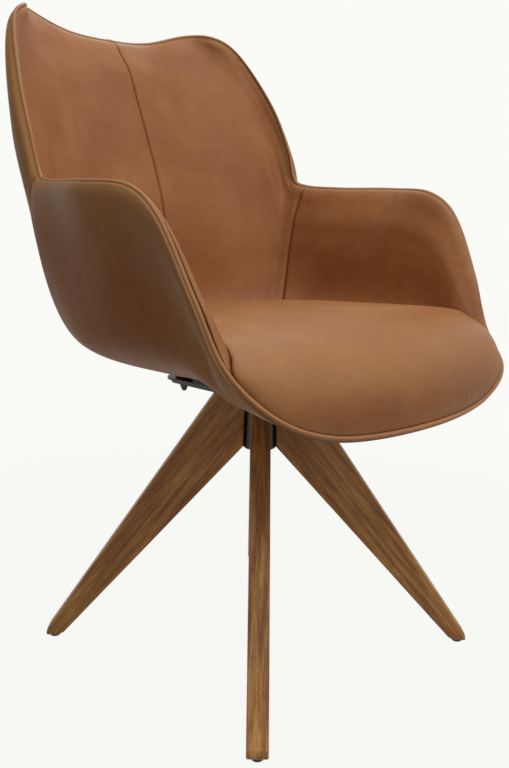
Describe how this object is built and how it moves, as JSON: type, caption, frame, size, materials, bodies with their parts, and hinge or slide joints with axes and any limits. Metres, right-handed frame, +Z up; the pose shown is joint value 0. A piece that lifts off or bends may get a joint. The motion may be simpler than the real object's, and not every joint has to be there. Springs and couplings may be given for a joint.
{
  "type": "swivel armchair",
  "caption": "Leather-covered bucket armchair with piped rim that swivels on a black hub with splayed flat oak legs.",
  "frame": {"origin": "on the floor under the middle of the chair's bounding box", "axes": "+X to the sitter's left as seen from the front, -Y to the front of the chair, +Z up"},
  "size_m": [0.5854, 0.6235, 0.8932],
  "materials": {
    "oak": "oiled, satin",
    "black_steel": "black powder coat",
    "zinc_steel": "zinc plated",
    "brass": "plain",
    "nylon": "matt",
    "black_plastic": "matt",
    "rubber": "matt",
    "shell": "moulded, matt",
    "leather": "waxed, with a light patina",
    "piping": "waxed, rubbed lighter"
  },
  "bodies": {
    "base": {"leg_front_left": "oak", "leg_front_right": "oak", "leg_rear_left": "oak", "leg_rear_right": "oak", "glide_front_left": "black_plastic", "glide_front_right": "black_plastic", "glide_rear_left": "black_plastic", "glide_rear_right": "black_plastic", "hub": "black_steel", "leg_bolt_lower_front_left": "zinc_steel", "leg_bolt_lower_front_right": "zinc_steel", "leg_bolt_lower_rear_left": "zinc_steel", "leg_bolt_lower_rear_right": "zinc_steel", "leg_bolt_upper_front_left": "zinc_steel", "leg_bolt_upper_front_right": "zinc_steel", "leg_bolt_upper_rear_left": "zinc_steel", "leg_bolt_upper_rear_right": "zinc_steel", "insert_lower_front_left": "brass", "insert_lower_front_right": "brass", "insert_lower_rear_left": "brass", "insert_lower_rear_right": "brass", "insert_upper_front_left": "brass", "insert_upper_front_right": "brass", "insert_upper_rear_left": "brass", "insert_upper_rear_right": "brass", "upper_bush": "nylon", "lower_bush": "nylon", "thrust_washer": "zinc_steel", "hub_cap": "black_plastic"},
    "seat": {"spindle": "zinc_steel", "retaining_clip": "zinc_steel", "seat_plate": "black_steel", "brace_plate": "black_steel", "stud_front_left": "zinc_steel", "stud_front_right": "zinc_steel", "stud_rear_left": "zinc_steel", "stud_rear_right": "zinc_steel", "domed_nut_front_left": "black_steel", "domed_nut_front_right": "black_steel", "domed_nut_rear_left": "black_steel", "domed_nut_rear_right": "black_steel", "spacer_front_left": "rubber", "spacer_front_right": "rubber", "spacer_rear_left": "rubber", "spacer_rear_right": "rubber", "outer_cover": "leather", "seat_shell": "shell", "back_pad_right": "leather", "back_pad_left": "leather", "arm_pad_right": "leather", "arm_pad_left": "leather", "seat_cushion": "leather", "rim_piping": "piping"}
  },
  "joints": [
    {"name": "swivel", "type": "hinge", "parent": "base", "child": "seat", "pos_m": [0, -0.0313, 0.34], "axis": [0, 0, 1], "continuous": true}
  ]
}
